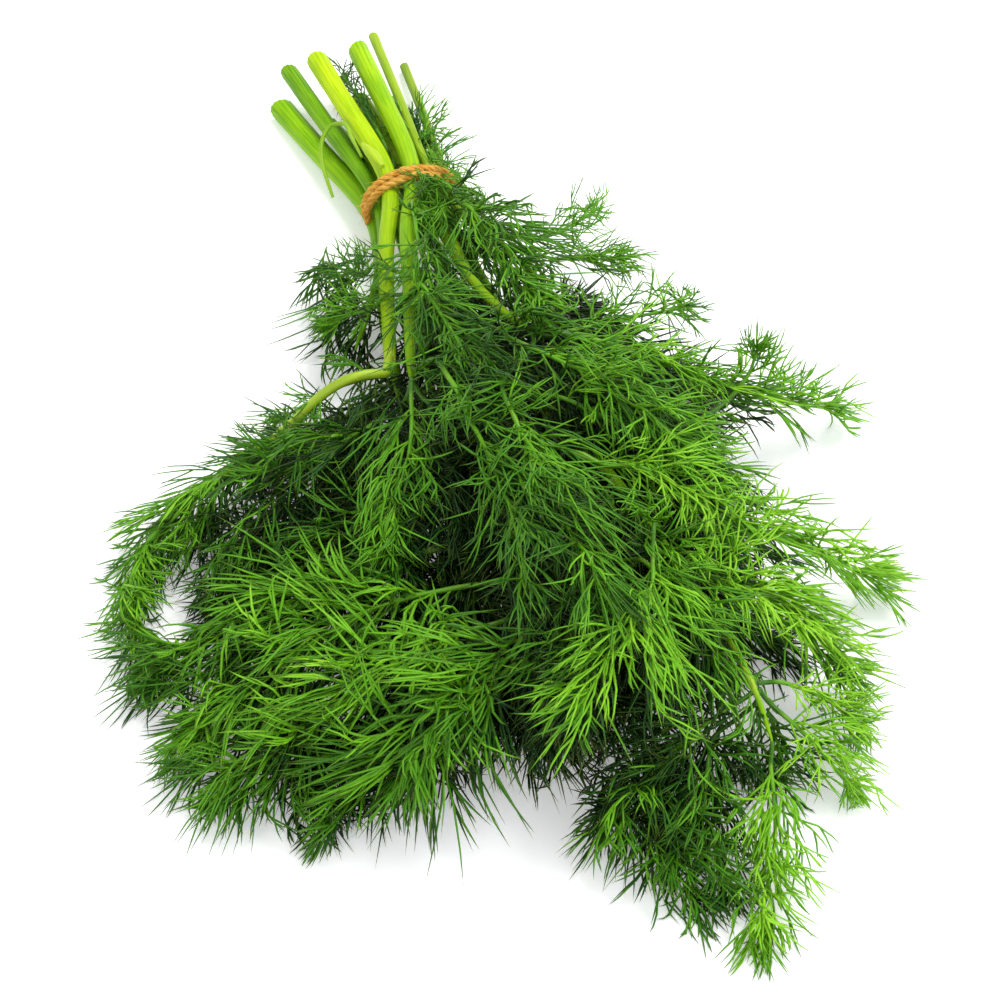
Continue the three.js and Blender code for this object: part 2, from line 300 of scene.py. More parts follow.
class Growth:  # collects strands, and turns them into one mesh
    def __init__(self, inShade=1.0):
        self.parts = []
        self.inShade = inShade  # how much of the canopy's painted shade it takes

    # lines (n, k, 3), radii (n, k), tone (n,) across the colour chart, age (n, k) up the chart
    def strands(self, lines, radii, tone, age, sides=3, toneWidth=0.012, leafy=True):
        n, k, _ = lines.shape
        if n == 0:
            return
        radii, age = np.broadcast_to(radii, (n, k)), np.broadcast_to(age, (n, k))
        lines = aboveFloor(lines)
        free = ~stemSpace.meets(lines) if leafy else np.ones(n, dtype=bool)
        if free.any():
            self.parts.append([lines[free], radii[free], tone[free], age[free], sides, toneWidth, leafy])

    def middles(self):
        return np.vstack([part[0][:, part[0].shape[1] // 2] for part in self.parts])

    def build(self, name, canopy):
        places, quadSets, triangleSets, quadUvs, triangleUvs = [], [], [], [], []
        count = 0
        for lines, radii, tone, age, sides, toneWidth, leafy in self.parts:
            n, k, _ = lines.shape
            if leafy:
                # painted shade: leaves deep under the top of the foliage get a darker tone
                tone = np.clip(tone - self.inShade * canopy.shade(lines[:, k // 2]), *leafTones)
            along = unit(np.gradient(lines, axis=1))
            chord = lines[:, -1] - lines[:, 0]
            steep = np.abs(unit(chord)[:, 2:3]) > 0.9
            reference = unit(np.cross(chord, np.where(steep, [[1.0, 0, 0]], up)))[:, None, :]
            first = unit(np.cross(along, reference))
            second = np.cross(along, first)
            angles = 2 * np.pi * np.arange(sides) / sides
            radii = radii[:, :, None, None]
            rings = (lines[:, :, None, :] + first[:, :, None, :] * (np.cos(angles)[:, None] * radii)
                     + second[:, :, None, :] * (np.sin(angles)[:, None] * radii))[:, :-1]
            each = (k - 1) * sides + 1
            base = count + np.arange(n)[:, None, None] * each
            ring, side = (g.ravel() for g in np.meshgrid(np.arange(k - 2), np.arange(sides), indexing="ij"))
            a, b = ring * sides + side, ring * sides + (side + 1) % sides
            walls = np.stack([a, b, b + sides, a + sides], axis=1)
            s = np.arange(sides)
            last = (k - 2) * sides
            peaks = np.stack([last + s, last + (s + 1) % sides, np.full(sides, each - 1)], 1)
            floor = np.array([(0, j + 1, j) for j in range(1, sides - 1)])
            across = tone[:, None, None] + toneWidth * (side[:, None] + [0, 1, 1, 0]) / sides
            quadUvs.append(np.stack([across, age[:, ring[:, None] + [0, 0, 1, 1]]], axis=-1).reshape(-1, 2))
            corners = np.stack([s, s + 1, np.full(sides, sides / 2)], axis=1)
            corners = np.vstack([corners, np.tile([0, sides / 2, sides], (sides - 2, 1))]) / sides
            age = np.concatenate([np.tile(age[:, None, [-2, -2, -1]], (1, sides, 1)),
                                  np.tile(age[:, :1, None] + [0, 0.004, 0], (1, sides - 2, 1))], axis=1)
            uv = np.stack([tone[:, None, None] + toneWidth * corners, age], axis=-1)
            places.append(np.concatenate([rings.reshape(n, -1, 3), lines[:, -1:]], axis=1).reshape(-1, 3))
            quadSets.append((base + walls).reshape(-1, 4))
            triangleSets.append((base + np.vstack([peaks, floor])).reshape(-1, 3))
            triangleUvs.append(uv.reshape(-1, 2))
            count += n * each
        quads, triangles = np.vstack(quadSets), np.vstack(triangleSets)
        mesh = bpy.data.meshes.new(name)
        mesh.vertices.add(count)
        mesh.vertices.foreach_set("co", np.vstack(places).ravel())
        corners = np.concatenate([quads.ravel(), triangles.ravel()])
        mesh.loops.add(len(corners))
        mesh.loops.foreach_set("vertex_index", corners)
        sizes = np.repeat([4, 3], [len(quads), len(triangles)])
        mesh.polygons.add(len(sizes))
        mesh.polygons.foreach_set("loop_start", np.concatenate([[0], np.cumsum(sizes)[:-1]]))
        mesh.polygons.foreach_set("loop_total", sizes)
        mesh.polygons.foreach_set("use_smooth", np.ones(len(sizes), dtype=bool))
        chart = mesh.uv_layers.new(name="OFBake")
        chart.data.foreach_set("uv", np.clip(np.vstack(quadUvs + triangleUvs), 0.001, 0.999).ravel())
        mesh.update(calc_edges=True)
        self.triangleCount = 2 * len(quads) + len(triangles)
        return linked(name, mesh)


def linked(name, data):
    made = bpy.data.objects.new(name, data)
    bpy.context.scene.collection.objects.link(made)
    return made


class Canopy:  # painted shade: how deep a place lies under the top of the foliage, where that is thick, which darkens the leaves' tone there
    look = {"cell": 5 * mm, "from": 3 * mm, "to": 20 * mm, "darkening": 0.54, "thick": 0.9}

    def __init__(self, places):
        cell = self.look["cell"]
        self.low = places[:, :2].min(0) - 2 * cell
        size = ((places[:, :2].max(0) + 2 * cell - self.low) / cell).astype(int) + 2
        top, many = np.zeros(size), np.zeros(size)
        where = ((places[:, :2] - self.low) / cell).astype(int)
        np.maximum.at(top, (where[:, 0], where[:, 1]), places[:, 2])
        np.add.at(many, (where[:, 0], where[:, 1]), 1)
        self.top = self.soften(top, 2)
        many = self.soften(many, 5)
        usual = np.percentile(many[many > 1], 60)
        self.share = ease(many / usual, 0.25, self.look["thick"])

    def soften(self, grid, times):
        for _ in range(times):
            padded = np.pad(grid, 1, mode="edge")
            rows, columns = grid.shape
            grid = sum(padded[i:i + rows, j:j + columns] for i in range(3) for j in range(3)) / 9
        return grid

    # painted shade: the tone taken off a leaf for its depth under the top of the foliage
    def shade(self, places):
        where = ((places[:, :2] - self.low) / self.look["cell"]).astype(int)
        where = tuple(np.clip(where, 0, np.array(self.top.shape) - 1).T)
        depth = self.top[where] - places[:, 2]
        return self.look["darkening"] * self.share[where] * ease(depth, self.look["from"], self.look["to"])


# Foliage: a frond is a stalk with leaflets on both sides, each a spray of forked threads.

frondLook = {
    "rachisRadius": (0.72 * mm, 0.34 * mm),  # at the base and at the tip
    "leafletRadius": (0.42 * mm, 0.3 * mm),
    "threadRadius": 0.35 * mm,
    "threadGap": 3.4 * mm,  # between two threads along a leaflet
    "threadShare": 0.78,  # a thread's length as a share of its leaflet's
    "threadLeast": 4.0 * mm,
    "threadMost": 16.0 * mm,
    "spread": (38, 20),  # angle of a thread to its leaflet at its foot and end, degrees
    "fork": (17, 36),
    "forks": (0.92, 0.72, 0.5),  # how many threads fork once, twice, and again on the first fork
    "forkPlaces": ((0.2, 0.4), (0.42, 0.62), (0.3, 0.55)),  # along the thread
    "forkLengths": ((0.8, 1.05), (0.85, 1.15), (0.7, 1.0)),  # as shares of what is left of it
    "roll": 26,  # how far the threads turn out of the leaflet's plane, degrees
    "sweepOfThread": 0.42,  # bend of a thread towards its leaflet's end
    "combed": 0.32,  # bend that a leaflet's threads share
    "loose": 0.19,  # bend of each thread's own
    "sag": 0.16,
    "length": 0.9,  # of a frond, as a share of the fixed frame's
    "reach": 1.16,  # of the leaflets
    "arc": (0.42, 0.12, 0.09),  # a leaflet's middle: how far out, back and up
    "sweep": 0.85,  # how far the leaflets lean towards the frond's tip
    "lean": (0, 0, 0),  # and all to one side
    "raised": (0.95, 17, 15),  # leaflets above the blade: length share, height and scatter, degrees
    "pastTip": 2.5 * mm,
    "stalkLeaflets": (9 * mm, 0.62),  # gap between those on the bare stalk, and their length share
    "missing": 0.07,
    "shift": (0, 0, 0),
    "hump": 0,  # how much higher the middle of the bare stalk is
    "tone": 0,  # lighter above 0
    "toneScatter": 0.065,
    "stalkTone": 0.88,  # the part of the colour chart kept for stalks; pale ones lie past 0.93
    # share of the canopy's painted shade that a frond's leaves take
    "inShade": 1.0,
}

frondSeed = 100
blade = 0.3  # where on the chart the blade begins
# the leaves of frond_shaded start lower on the chart: a darker tone as painted shade
toneOf = {"frond": 0.44, "frond_shaded": 0.18}

fine = {"threadRadius": 0.25 * mm, "threadGap": 2.6 * mm, "roll": 45, "combed": 0.4, "threadShare": 0.65}
wispy = {  # open sprays that show what lies behind
    "threadRadius": 0.24 * mm, "leafletRadius": (0.34 * mm, 0.24 * mm), "threadGap": 4.4 * mm,
    "spread": (52, 30), "fork": (28, 48), "forks": (0.9, 0.7, 0.3), "roll": 30, "threadShare": 0.72,
    "threadLeast": 3 * mm, "sag": 0.05, "missing": 0.25, "stalkLeaflets": (10 * mm, 0.35), "pastTip": 0,
}
airy = {
    "threadRadius": 0.32 * mm, "threadGap": 4.1 * mm, "forks": (0.9, 0.7, 0.4), "fork": (20, 40),
    "sweepOfThread": 0.5, "combed": 0.42, "loose": 0.26,
}
bold = {  # long thick threads that flow the same way
    "threadRadius": 0.43 * mm, "leafletRadius": (0.5 * mm, 0.36 * mm), "threadGap": 4.0 * mm,
    "threadShare": 0.86, "forks": (0.9, 0.65, 0.35), "fork": (16, 32), "threadMost": 21 * mm,
    "sweepOfThread": 0.5, "combed": 0.46, "loose": 0.16,
}
plain = {}
sparse = {**wispy, "threadRadius": 0.3 * mm, "missing": 0.1, "sag": 0.2}

frondRows = (  # name without frond_, kind, tone, length, reach, and what else differs from frondLook
    ("between_stems", fine, 0, 1.05, 0.5, {
        "raised": (0.8, -4, 8), "shift": (0, 0, -6 * mm), "stalkLeaflets": (9 * mm, 0.2),
        "threadMost": 8 * mm, "sweep": 1.6}),
    ("beside_stems", fine, 0, 0.9, 0.8, {
        "raised": (0.8, 8, 16), "shift": (-8 * mm, 0, -1 * mm), "sweep": 1.3}),
    ("left_edge", fine, 0.03, 0.97, 1.25, {
        "threadRadius": 0.3 * mm, "threadGap": 1.8 * mm, "threadMost": 11 * mm, "sag": 0.3,
        "lean": (0.3, -0.45, -0.05), "shift": (1 * mm, -2 * mm, 0), "from": "stem_top_left", "hump": 9 * mm,
        "stalkTone": 0.935, "rachisRadius": (1.4 * mm, 0.34 * mm), "stalkLeaflets": (12 * mm, 0.3),
        "raised": (0.95, 12, 15)}),
    ("left_back", wispy, 0, 0.72, 0.9, {"shift": (4 * mm, -7 * mm, 0), "lean": (0.2, -0.5, 0)}),
    ("left_curl", wispy, 0, 0.56, 0.75, {"shift": (4 * mm, -2 * mm, 0)}),
    ("left_shoulder", wispy, -0.08, 0.56, 0.85, {"shift": (2 * mm, 2 * mm, 0)}),
    ("left_long", bold, -0.04, 0.9, 1.16, {"lean": (0.1, -0.2, 0), "inShade": 0.6}),
    ("left_front_1", bold, 0.04, 0.84, 1.15),
    ("left_front_2", bold, 0.08, 0.84, 1.15),
    ("left_front_3", bold, 0, 0.8, 1.15),
    ("left_inner", plain, -0.14, 0.9, 1.3),
    ("left_middle", airy, -0.13, 0.9, 1.16),
    ("top_centre", airy, -0.08, 0.9, 1.16),
    ("top_middle", airy, -0.13, 0.9, 1.16),
    ("top_front", airy, -0.08, 0.9, 1.16),
    ("top_left", plain, -0.06, 0.9, 1.16),
    ("top_tie", plain, -0.08, 0.9, 1.16),
    ("under_left", plain, 0.12, 0.9, 1.4),
    ("under_left_front", plain, 0.08, 0.8, 1.4),
    ("under_front", plain, 0, 0.48, 0.9),
    ("under_right_front", plain, 0.12, 0.9, 1.16, {"inShade": 0.5}),
    ("under_right", plain, 0, 0.6, 1.16),
    ("under_back", plain, 0, 0.58, 0.9),
    ("front", bold, 0, 0.42, 1.1),
    ("front_left", bold, -0.04, 0.8, 1.16),
    ("front_middle", plain, -0.1, 0.72, 1.2),
    ("front_dark", plain, 0.2, 0.92, 1.2, {"inShade": 0.35}),
    ("front_dark_right", plain, 0.18, 0.82, 0.9, {"inShade": 0.35}),
    ("front_tip", plain, 0.22, 0.83, 1.1),
    ("tip_left", plain, 0.14, 0.86, 1.16),
    ("tip_right", sparse, 0.26, 0.8, 1.1),
    ("tip_side", sparse, 0.26, 0.7, 1.0),
    ("right_front", plain, 0.22, 0.76, 1.1, {"threadGap": 3.8 * mm}),
    ("right_arch", plain, 0.24, 0.9, 1.0, {"threadGap": 3.8 * mm, "lean": (0.1, -0.25, 0)}),
    ("right_curl", plain, 0.12, 0.9, 1.16),
    ("right_middle", plain, 0.16, 0.78, 1.0),
    ("right_inner", plain, 0, 0.7, 1.0),
    ("right_long", plain, 0.14, 0.9, 0.95, {"threadRadius": 0.3 * mm, "pastTip": 0}),
    ("right_sprig", wispy, 0.04, 0.62, 0.5, {"missing": 0.5}),
    ("right_back", wispy, 0, 0.9, 0.95, {"threadRadius": 0.28 * mm, "missing": 0.1}),
    ("back_high", wispy, 0.04, 0.88, 1.3),
    ("back_upright", wispy, 0.06, 0.88, 1.35),
)
frondChanges = {
    "frond_" + name: {**kind, "tone": tone, "length": length, "reach": reach, **dict(*others)}
    for name, kind, tone, length, reach, *others in frondRows
}


def flat(a):
    return a.reshape(-1, *a.shape[2:])


# Leaflets from roots to tips, each lying across its normal, with n threads apiece.
def growSprays(growth, roots, tips, normals, forward, tone, n, rand, look):
    m = len(roots)
    reach = norm(tips - roots)[:, None]
    ends = roots + 0.8 * (tips - roots) + rand.normal(0, 0.04, (m, 3)) * reach
    out, back, high = look["arc"]
    middle = roots + out * (tips - roots) - back * reach * forward + high * reach * up

    def at(t):
        t = t[..., None]
        r, c, e = roots[:, None], middle[:, None], ends[:, None]
        point = (1 - t) ** 2 * r + 2 * t * (1 - t) * c + t**2 * e
        return point, unit(2 * (1 - t) * (c - r) + 2 * t * (e - c))

    axis, axisSlope = at(np.tile(np.linspace(0, 1, 7), (m, 1)))
    beyond = axis[:, -1:] + reach[:, None] * (0.2 * axisSlope[:, -1:] - 0.03 * up)
    axis = np.concatenate([axis, beyond], axis=1)
    thick, thin = look["leafletRadius"]
    taper = np.array([1, 0.93, 0.84, 0.72, 0.58, 0.4, 0.15, 0])
    radii = (thin + (thick - thin) * taper) * np.clip(reach / (20 * mm), 0.7, 1.0)
    growth.strands(axis, radii, tone + 0.05, np.linspace(0, 0.8, 8))

    t = (np.arange(n)[None, :] + 0.45 + rand.normal(0, 0.16, (m, n))) / (n + 0.1)
    t = np.clip(t, 0.03, 0.98)
    point, slope = at(t)
    normal = unit(normals[:, None] - (normals[:, None] * slope).sum(-1, keepdims=True) * slope)
    sign = np.where(np.arange(n) % 2 == 0, 1.0, -1.0)[None, :] * rand.choice([-1.0, 1.0], (m, 1))
    combed = rand.normal(0, look["combed"], (m, 1, 3)) * [1, 1, 0.5] + 0.1 * forward[:, None]
    length = look["threadShare"] * reach * (1.1 - 0.6 * t) * rand.uniform(0.75, 1.2, t.shape)
    wide, narrow = look["spread"]
    angle = np.radians(wide + (narrow - wide) * t + rand.normal(0, 6, t.shape))
    slope = flat(slope)
    threads = {  # one row for each thread
        "foot": flat(point), "normal": flat(normal), "sign": sign.ravel()[:, None],
        "length": np.minimum(length.ravel() + look["threadLeast"], look["threadMost"]),
        "combed": flat(np.broadcast_to(combed, (m, n, 3))) - look["sag"] * up,
        "radius": look["threadRadius"] * rand.uniform(0.85, 1.12, m * n),
        "tone": np.repeat(tone, n) + rand.normal(0, look["toneScatter"], m * n),
    }

    def turnOut(ahead, normal, hand, angle):  # a direction beside ahead, a little out of the plane
        roll = np.radians(rand.normal(0, look["roll"], len(ahead)))[:, None]
        out = hand * np.cos(roll) * unit(np.cross(ahead, normal)) + np.sin(roll) * normal
        return np.cos(angle)[:, None] * ahead + np.sin(angle)[:, None] * out

    def bend(ahead, ray, combed):
        own = rand.normal(0, look["loose"], ray.shape) * [1, 1, 0.7]
        return look["sweepOfThread"] * (ahead - ray) + combed + own

    def draw(rows, steps, youngest, thinner):
        lines = pathPoints(rows["foot"], rows["ray"], rows["curl"], rows["length"], steps)
        taper = np.interp(steps, [0, 0.6, 0.88, 1], [1, 0.88, 0.55, 0])
        radii = (thinner * rows["radius"])[:, None] * taper
        growth.strands(lines, radii, rows["tone"], youngest + (1 - youngest) * steps)

    def forkFrom(rows, hand, chance, places, lengths):
        some = rand.random(len(rows["foot"])) < chance
        rows = {key: part[some] for key, part in rows.items()}
        many = len(rows["foot"])
        share = rand.uniform(*places, many)
        s = share[:, None]
        ahead = unit(rows["ray"] + 2 * s * rows["curl"])
        rows["foot"] = rows["foot"] + rows["length"][:, None] * (s * rows["ray"] + s**2 * rows["curl"])
        angle = np.radians(rand.uniform(*look["fork"], many))
        rows["ray"] = turnOut(ahead, rows["normal"], hand * rows["sign"], angle)
        rows["length"] = rows["length"] * (1.12 - share) * rand.uniform(*lengths, many)
        rows["curl"] = bend(ahead, rows["ray"], 0.85 * rows["combed"])
        rows["tone"] = rows["tone"] + rand.normal(0, 0.02, many)
        draw(rows, np.array([0, 0.4, 0.75, 1]), 0.4, 0.95)
        return rows

    threads["ray"] = turnOut(slope, threads["normal"], threads["sign"], angle.ravel())
    threads["curl"] = bend(slope, threads["ray"], threads["combed"])
    draw(threads, np.array([0, 0.28, 0.55, 0.8, 1]), 0.1, 1)
    once, twice, again = zip(look["forks"], look["forkPlaces"], look["forkLengths"])
    fork = forkFrom(threads, 1, *once)
    forkFrom(threads, -1, *twice)
    forkFrom(fork, -1, *again)


def pathPoints(foot, ray, curl, length, s):
    path = s[:, None] * ray[..., None, :] + (s**2)[:, None] * curl[..., None, :]
    return foot[..., None, :] + length[..., None, None] * path


def spray(rand, foot, heading, length, normal, tilt, forward, tone, scatter):
    normal = normal + rand.normal(0, tilt, 3)
    return foot, foot + length * heading, normal, forward, tone + rand.normal(0, scatter)


def growLeaflets(growth, leaflets, rand, look):
    roots, tips, normals, forward, tones = (np.array(column) for column in zip(*leaflets))
    normals, forward = unit(normals), unit(forward)
    counts = np.clip(np.round(norm(tips - roots) / look["threadGap"]), 3, 11).astype(int)
    for n in np.unique(counts):
        some = counts == n
        growSprays(growth, roots[some], tips[some], normals[some], forward[some], tones[some], n, rand, look)


linkLook = {
    "farthest": 0.1,  # metres, with the other two costs in it
    "astray": 1.5,  # cost of a stem that the frond points away from
    "tooNear": (4 * mm, 0.02),
    "least": 3 * mm,  # no stalk is drawn over a shorter gap
    "pull": 0.9,
}


# A stalk from the nearest stem to a frond's base, so that no frond starts in mid-air.
def stalkFromStem(base, heading):
    look = linkLook
    near, extra = look["tooNear"]
    best, bestCost = None, look["farthest"]
    for line in stemLines.values():
        along = unit(np.gradient(line, axis=0))
        gap = base - line
        distance = norm(gap)
        astray = 1 - (unit(gap) * heading).sum(1)
        cost = distance * (1 + look["astray"] * astray) + extra * (distance < near)
        k = int(np.argmin(cost))
        if cost[k] < bestCost:
            best, bestCost = (line[k], along[k], distance[k]), cost[k]
    if best is None or best[2] < look["least"]:
        return np.empty((0, 3))
    start, down, distance = best
    t = np.linspace(0, 1, max(3, int(distance / (6 * mm)) + 2))[:-1, None]
    pull = look["pull"] * distance
    return ((2 * t**3 - 3 * t**2 + 1) * start + (t**3 - 2 * t**2 + t) * pull * unit(down + 0.4 * heading)
            + (3 * t**2 - 2 * t**3) * base + (t**3 - t**2) * pull * heading)


def growFrond(node, seed):
    rand = np.random.default_rng(seed)
    look = {**frondLook, **frondChanges.get(node, {})}
    centres, _, leaflets = readSkeleton(node, ringGap["frond"], True)
    base = centres[0].copy()
    foot = base + look["shift"]
    centres = foot + look["length"] * (centres - base)
    leaflets = [(feet, foot + look["length"] * (place - base)) for feet, place in leaflets]
    tipPlace = next(place for feet, place in leaflets if len(feet) == 1)
    bladeStart = min(feet[0] for feet, _ in leaflets if len(feet) == 2)
    if "from" in look:
        origin = stemLines[look["from"]][-3]
        link = origin + np.linspace(0, 1, 6)[:-1, None] * (centres[0] - origin)
    else:
        link = stalkFromStem(centres[0], unit(centres[1] - centres[0]))
    route = np.vstack([link, centres, tipPlace * 0.6 + centres[-1] * 0.4])
    line = smoothLine(route, 5 * len(route))
    reach = travel(line)
    joint = reach[np.argmin(norm(line - centres[bladeStart]))]
    line[:, 2] += look["hump"] * np.sin(np.pi * np.clip(reach / max(joint, mm), 0, 1))
    thick, thin = look["rachisRadius"]
    thick = thick * min(1.0, 0.6 + len(centres) / 30)
    past = np.clip((reach - joint) / (reach[-1] - joint), 0, 1)
    radii = thick + (thin - thick) * past
    if bladeStart > 1:  # a joint where the blade begins
        radii = radii * (1 + 0.6 * np.exp(-(((reach - joint) / (2.2 * mm)) ** 2)))
    age = np.where(reach < joint, blade * reach / max(joint, mm), blade + (0.98 - blade) * past)
    growth = Growth(look["inShade"])
    growth.strands(line[None], radii[None], np.array([look["stalkTone"]]), age[None], 6, 0.04, leafy=False)

    tone = toneOf[slotOfNode[node]] + look["tone"] + rand.normal(0, 0.02)
    along = unit(np.gradient(centres, axis=0))
    toTip = travel(centres[::-1])[::-1] + norm(tipPlace - centres[-1])
    sprays = []
    share, height, heightScatter = look["raised"]
    for feet, place in leaflets:
        if len(feet) == 1 or rand.random() < look["missing"]:
            continue
        i = feet[0]
        step = centres[i + 1] - centres[i]
        foot = centres[i] + step * rand.uniform(0.3, 0.7)
        out = place - foot
        late = 1 - toTip[i] / toTip[bladeStart]
        heading = unit(unit(out) + look["sweep"] * (0.8 + 0.9 * late) * along[i] + look["lean"])
        longest = toTip[i] * 0.92 + look["pastTip"]
        length = min(max(norm(out) * look["reach"], 9 * mm) * rand.uniform(0.8, 1.15), longest)
        normal = np.cross(np.cross(along[i], up), along[i])
        # painted shade: leaflets in the blade's plane take a slightly darker tone
        sprays.append(spray(rand, foot, heading, length, normal, 0.28, along[i], tone - 0.02, 0.04))
        foot = centres[i] + step * rand.uniform(0.6, 1.2)
        lift = math.radians(height + rand.normal(0, heightScatter))
        level = unit(unit(out * [1, 1, 0]) + (0.5 + look["sweep"]) * along[i] * [1, 1, 0.3])
        level = unit(level + rand.normal(0, 0.16, 3) * [1, 1, 0] + np.array(look["lean"]) * [1, 1, 0])
        heading = math.cos(lift) * level + math.sin(lift) * up
        normal = np.cross(np.cross(heading, up), heading)
        # painted light: leaflets raised above the blade take a lighter tone
        sprays.append(spray(rand, foot, heading, share * length, normal, 0.3, along[i], tone + 0.05, 0.04))
    gap, share = look["stalkLeaflets"]
    for k, place in enumerate(np.arange(4 * mm, joint - 4 * mm, gap)):
        j = int(np.argmin(np.abs(reach - place)))
        ahead = unit(line[min(j + 2, len(line) - 1)] - line[max(j - 2, 0)])
        across = np.cross(ahead, up) * (1 if k % 2 else -1)
        lift = math.radians(rand.normal(10, 18))
        heading = math.cos(lift) * unit(0.65 * across + ahead + rand.normal(0, 0.12, 3)) + math.sin(lift) * up
        length = share * rand.uniform(18, 30) * mm
        sprays.append(spray(rand, line[j], heading, length, up, 0.35, ahead, tone - 0.12, 0.05))
    for turn in (-0.28, 0.05, 0.32):  # the blade's end
        heading = unit(along[-1] + turn * np.cross(along[-1], up) + rand.normal(0, 0.08, 3))
        length = toTip[-1] + look["pastTip"]
        sprays.append(spray(rand, centres[-1], heading, length, up, 0.3, along[-1], tone, 0.04))
    growLeaflets(growth, sprays, rand, look)
    return growth


# Small leaves low among the stems and stalks, toned dark as painted shade, which fill the bunch's middle, and
# a few over the tie.
coreLook = {
    "seed": 900,
    "seedOverTie": 77,
    "groups": 6,
    "perGroup": 125,
    "fan": (4 * mm, 105 * mm, 0),  # where the whole bunch spreads from
    "middle": (6 * mm, -12 * mm),
    "half": (44 * mm, 76 * mm),
    "height": (4 * mm, 15 * mm),
    "heap": 24 * mm,  # how much higher the middle is
    "stemsShow": (-10 * mm, 20 * mm),  # no core leaves left of and behind this
    "reach": (17 * mm, 32 * mm),
    # dark tone of the middle's leaves: painted shade
    "tone": 0.21,
    "roll": 40,
    "overTie": (60, 0.47),  # how many, tone
    "aboveTie": (  # how many, lowest and highest corner in mm, heading, tone
        (30, (0, 94, 4), (6, 122, 12), (-0.1, 1, 0.08), 0.16),  # between the stems, toned dark as painted shade
        (62, (11, 86, 6), (20, 116, 19), (-0.02, 1, 0.1), 0.52),  # at their right
    ),
    "besideStems": (6, (-25, 12, 4), (-12, 80, 14)),  # how many, lowest and highest corner in mm
    "fillers": (  # middle, half size, heading, how many in a group, tone
        ((-70, -66), (14, 20), (-0.8, -0.6), 7, 0.42),
        ((-52, -80), (20, 10), (-0.45, -0.9), 7, 0.38),
        ((-86, -50), (5, 6), (-1, -0.5), 1, 0.38),
        ((-62, -14), (12, 12), (-0.7, -0.7), 2, 0.34),
        ((40, -112), (8, 10), (-0.3, -1), 2, 0.42),
        ((16, -116), (14, 12), (-0.25, -1), 5, 0.42),
    ),
    "fillerReach": (12 * mm, 20 * mm),
}


def growCore(number):
    look = coreLook
    rand = np.random.default_rng(look["seed"] + number)
    growth = Growth()
    sprays = []
    fan = np.array(look["fan"])
    many, lowest, highest = look["besideStems"]
    for _ in range(many):
        foot = rand.uniform(np.array(lowest) * mm, np.array(highest) * mm)
        heading = unit(np.array([rand.uniform(-1.0, -0.35), -0.75, rand.normal(0, 0.15)]))
        length = rand.uniform(8, 15) * mm
        sprays.append(spray(rand, foot, heading, length, up, 0.5, heading, look["tone"] + 0.16, 0.07))
    for middle, half, ahead, many, tone in look["fillers"]:
        for _ in range(many):
            foot = np.array([*(np.array(middle) + rand.uniform(-1, 1, 2) * half), rand.uniform(2, 9)]) * mm
            heading = unit(np.array([*ahead, 0.1]) + rand.normal(0, 0.3, 3) * [1, 1, 0.5])
            length = rand.uniform(*look["fillerReach"])
            sprays.append(spray(rand, foot, heading, length, up, 0.35, heading, tone, 0.06))
    low, high = look["height"]
    left, behind = look["stemsShow"]
    while len(sprays) < look["perGroup"]:
        spot = rand.uniform(-1, 1, 2)
        if np.hypot(*spot) > 1:
            continue
        highest = high + look["heap"] * (1 - np.hypot(*spot))
        foot = np.array([*(look["middle"] + spot * look["half"]), rand.uniform(low, highest)])
        if foot[0] < left and foot[1] > behind:
            continue
        away = unit((foot - fan) * [1, 1, 0])
        narrow = np.clip((fan[1] - foot[1]) / (70 * mm), 0.15, 1)
        foot[0] = fan[0] + (foot[0] - fan[0]) * narrow
        heading = unit(away + rand.normal(0, 0.3, 3) * [1, 1, 0] + [0, 0, rand.normal(0.12, 0.22)])
        length = rand.uniform(*look["reach"])
        sprays.append(spray(rand, foot, heading, length, up, 0.35, heading, look["tone"], 0.07))
    growLeaflets(growth, sprays, rand, {**frondLook, "roll": look["roll"]})
    return growth


def growOverTie():
    look = coreLook
    rand = np.random.default_rng(look["seedOverTie"])
    growth = Growth()
    sprays = []
    low, high = (np.array(corner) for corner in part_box("tie"))
    size = high - low
    many, tone = look["overTie"]
    for _ in range(many):
        across = rand.uniform(0.46, 0.92)
        x = low[0] + across * size[0]
        top = low[2] + size[2] * math.sqrt(max(0.0, 1 - (2 * across - 1) ** 2) * 0.25) + 0.5 * size[2]
        foot = np.array([x, rand.uniform(low[1] - 26 * mm, high[1] + 1 * mm), top - rand.uniform(2, 7) * mm])
        heading = unit(np.array([rand.normal(0.2, 0.45), -1.0, rand.normal(0.12, 0.25)]))
        sprays.append(spray(rand, foot, heading, rand.uniform(9, 18) * mm, up, 0.4, heading, tone, 0.07))
    for many, lowest, highest, ahead, tone in look["aboveTie"]:
        for _ in range(many):
            foot = rand.uniform(np.array(lowest) * mm, np.array(highest) * mm)
            heading = unit(ahead + rand.normal(0, 0.16, 3))
            sprays.append(spray(rand, foot, heading, rand.uniform(8, 14) * mm, up, 0.5, heading, tone, 0.06))
    growLeaflets(growth, sprays, rand, {**frondLook, **fine, "threadMost": 9 * mm})
    return growth


leafStops = (0.0, 0.22, 0.42, 0.62, 0.84)
leafColours = {  # material, colours from shade to light, then the petiole, the joint and the stalk
    "frond": (
        "dill_leaf", ((0.004, 0.026, 0.001), (0.02, 0.095, 0.002), (0.07, 0.25, 0.004),
                      (0.16, 0.45, 0.009), (0.31, 0.64, 0.028)),
        (0.05, 0.17, 0.006), (0.14, 0.33, 0.016), (0.11, 0.33, 0.008)),
    # a darker copy of the leaf colours, as painted shade for the leaves lying beneath
    "frond_shaded": (
        "dill_leaf_shaded", ((0.003, 0.022, 0.001), (0.015, 0.08, 0.002), (0.052, 0.205, 0.004),
                             (0.13, 0.37, 0.008), (0.27, 0.55, 0.025)),
        (0.035, 0.12, 0.005), (0.08, 0.22, 0.014), (0.075, 0.23, 0.008)),
}
oliveTip = (0.14, 0.19, 0.022)
paleStalk = (0.42, 0.6, 0.03)


